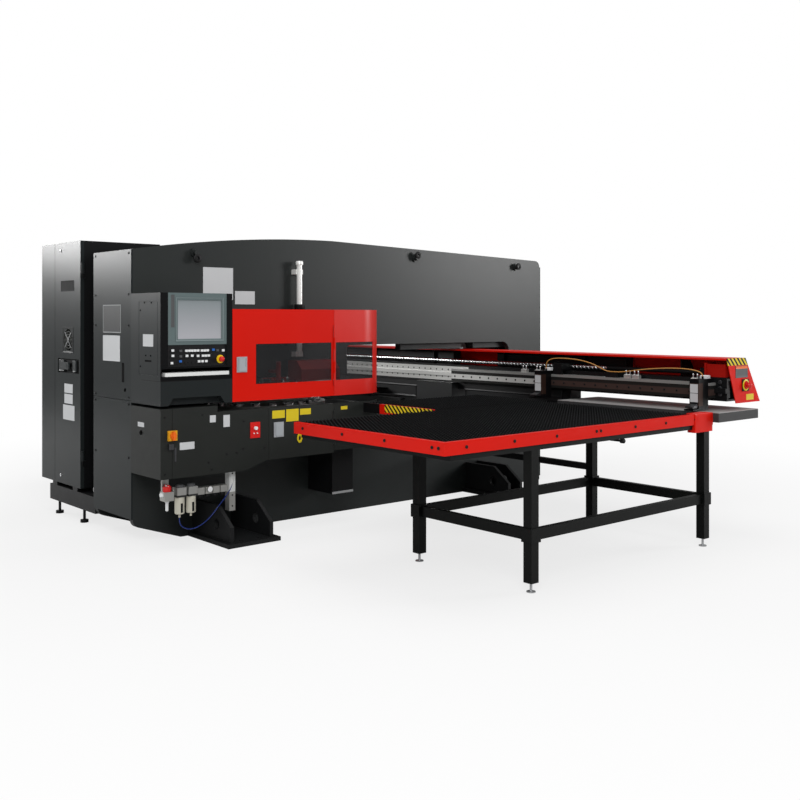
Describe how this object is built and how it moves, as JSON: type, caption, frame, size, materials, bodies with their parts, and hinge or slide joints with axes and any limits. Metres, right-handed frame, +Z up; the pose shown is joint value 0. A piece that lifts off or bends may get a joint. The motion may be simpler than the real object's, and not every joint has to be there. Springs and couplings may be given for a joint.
{
  "type": "punching machine",
  "caption": "Turret punch press with an arched bridge frame, red guarded turret, control console, clamp carriage over brush tables and an electrical cabinet beside its front.",
  "frame": {"origin": "centre of the bridge frame's underside, on the floor", "axes": "+X along the carriage to the right-hand table, +Y along the frame to its rear, +Z up"},
  "size_m": [5.831, 4.464, 2.294],
  "materials": {
    "frame_charcoal": "satin",
    "frame_dark": "satin",
    "cover_charcoal": "satin",
    "steel_grey": "satin",
    "bright_steel": "polished",
    "drive_red": "satin",
    "black_steel": "satin",
    "bezel_grey": "satin",
    "screen": "gloss",
    "key_black": "satin",
    "stop_red": "gloss",
    "guard_red": "gloss",
    "window_tint": "tinted",
    "latch_grey": "satin",
    "safety_yellow": "gloss",
    "isolator_orange": "gloss",
    "air_aluminium": "satin",
    "bowl_cream": "satin",
    "hose_amber": "gloss",
    "tube_blue": "gloss",
    "brush_black": "matte",
    "plate_grey": "satin",
    "turret_steel": "brushed",
    "tool_steel": "brushed"
  },
  "bodies": {
    "frame": {"side_plates": "frame_charcoal", "bed_weldment": "frame_dark", "arm_weldment": "frame_dark", "end_covers": "frame_charcoal", "foot_brackets": "frame_dark", "ram_cylinder": "steel_grey", "air_column": "bright_steel", "index_drive": "drive_red", "slug_chute": "black_steel", "console_housing": "cover_charcoal", "monitor_bezel": "bezel_grey", "monitor_screen": "screen", "key_panel": "key_black", "guard_panels": "guard_red", "guard_window": "window_tint", "lower_cover_box": "cover_charcoal", "lower_cover_mid": "cover_charcoal", "lower_side_covers": "cover_charcoal", "isolator_base": "safety_yellow", "pedal_plate": "stop_red", "air_unit": "air_aluminium", "filter_bowls": "bowl_cream", "drain_tube": "tube_blue", "cabinet_shell": "frame_charcoal", "cabinet_base": "black_steel", "table_bands": "guard_red", "brush_beds": "brush_black", "table_frames": "black_steel", "rear_tables": "plate_grey"},
    "carriage": {"saddle": "frame_dark", "carriage_beam": "black_steel", "carriage_cover": "guard_red", "end_panels": "guard_red", "screw_motor": "black_steel", "moving_tables": "brush_black", "moving_bands": "guard_red"},
    "cross_slide": {"slide_bar": "steel_grey", "clamp_bodies": "tool_steel", "clamp_hose": "hose_amber"},
    "screw": {"x_screw": "bright_steel"},
    "jaw_inner": {"clamp_jaw_inner": "steel_grey"},
    "jaw_outer": {"clamp_jaw_outer": "steel_grey"},
    "turret_top": {"upper_turret": "turret_steel", "punch_tools": "tool_steel"},
    "turret_bottom": {"lower_turret": "turret_steel", "die_tools": "tool_steel"},
    "ram": {"ram_rod": "bright_steel"},
    "guard_door": {"turret_door": "guard_red", "turret_door_window": "window_tint"},
    "guard_latch": {"turret_door_latch": "latch_grey"},
    "service_door": {"lower_door": "cover_charcoal"},
    "service_latch": {"lower_door_latch": "latch_grey"},
    "isolator": {"isolator_handle": "isolator_orange"},
    "lockout": {"lockout_knob": "stop_red"},
    "panel_door": {"cabinet_door": "frame_charcoal"},
    "fan": {"cabinet_fan": "bright_steel"},
    "panel_handle": {"cabinet_handle": "latch_grey"},
    "console_stop": {"console_estop": "stop_red"},
    "carriage_stop": {"carriage_estop": "stop_red"},
    "drawer": {"keyboard_drawer": "key_black"}
  },
  "joints": [
    {"name": "carriage_travel", "type": "slide", "parent": "frame", "child": "carriage", "axis": [0, 1, 0], "range_m": [-1.27, 0]},
    {"name": "cross_travel", "type": "slide", "parent": "carriage", "child": "cross_slide", "axis": [-1, 0, 0], "range_m": [0, 2.5]},
    {"name": "screw_turn", "type": "hinge", "parent": "carriage", "child": "screw", "pos_m": [0.5, 1.2, 1.232], "axis": [1, 0, 0], "continuous": true},
    {"name": "jaw_inner_rock", "type": "hinge", "parent": "cross_slide", "child": "jaw_inner", "pos_m": [1.442, 0.956, 1.028], "axis": [1, 0, 0], "range_deg": [0, 4]},
    {"name": "jaw_outer_rock", "type": "hinge", "parent": "cross_slide", "child": "jaw_outer", "pos_m": [2.95, 0.956, 1.028], "axis": [1, 0, 0], "range_deg": [0, 4]},
    {"name": "turret_index", "type": "hinge", "parent": "frame", "child": "turret_top", "pos_m": [0, -0.993, 1.045], "axis": [0, 0, 1], "continuous": true},
    {"name": "lower_turret_index", "type": "hinge", "parent": "frame", "child": "turret_bottom", "pos_m": [0, -0.993, 0.92], "axis": [0, 0, 1], "continuous": true},
    {"name": "ram_stroke", "type": "slide", "parent": "frame", "child": "ram", "axis": [0, 0, -1], "range_m": [0, 0.037]},
    {"name": "turret_door_hinge", "type": "hinge", "parent": "frame", "child": "guard_door", "pos_m": [0.783, -0.7345, 1.371], "axis": [0, 0, 1], "range_deg": [0, 100]},
    {"name": "turret_door_latch_lift", "type": "hinge", "parent": "guard_door", "child": "guard_latch", "pos_m": [0.783, -1.611, 1.3035], "axis": [0, 0, -1], "range_deg": [0, 30]},
    {"name": "lower_door_hinge", "type": "hinge", "parent": "frame", "child": "service_door", "pos_m": [0.783, -0.7345, 0.776], "axis": [0, 0, 1], "range_deg": [0, 95]},
    {"name": "lower_door_latch_lift", "type": "hinge", "parent": "service_door", "child": "service_latch", "pos_m": [0.783, -1.288, 0.8035], "axis": [0, 0, -1], "range_deg": [0, 30]},
    {"name": "isolator_turn", "type": "hinge", "parent": "frame", "child": "isolator", "pos_m": [0.799, -2.145, 0.825], "axis": [1, 0, 0], "range_deg": [0, 90]},
    {"name": "lockout_turn", "type": "hinge", "parent": "frame", "child": "lockout", "pos_m": [0.7, -2.142, 0.45], "axis": [0, 0, 1], "range_deg": [0, 90]},
    {"name": "cabinet_door_hinge", "type": "hinge", "parent": "frame", "child": "panel_door", "pos_m": [-0.599, -2.2025, 1.27], "axis": [0, 0, 1], "range_deg": [0, 100]},
    {"name": "fan_spin", "type": "hinge", "parent": "panel_door", "child": "fan", "pos_m": [-0.853, -2.2016, 1.465], "axis": [0, 1, 0], "continuous": true},
    {"name": "cabinet_handle_turn", "type": "hinge", "parent": "panel_door", "child": "panel_handle", "pos_m": [-0.847, -2.2248, 1.254], "axis": [0, -1, 0], "range_deg": [0, 60]},
    {"name": "console_stop_press", "type": "slide", "parent": "frame", "child": "console_stop", "axis": [-1, 0, 0], "range_m": [0, 0.005], "stiffness_N_per_m": 800, "springref_m": -0.002},
    {"name": "carriage_stop_press", "type": "slide", "parent": "carriage", "child": "carriage_stop", "axis": [-1, 0, 0], "range_m": [0, 0.005], "stiffness_N_per_m": 800, "springref_m": -0.002},
    {"name": "drawer_slide", "type": "slide", "parent": "frame", "child": "drawer", "axis": [1, 0, 0], "range_m": [0, 0.18]}
  ],
  "couplings": [
    {"joint": "lower_turret_index", "follows": "turret_index", "ratio": 1},
    {"joint": "screw_turn", "follows": "cross_travel", "rad_per_m": 157.08}
  ]
}
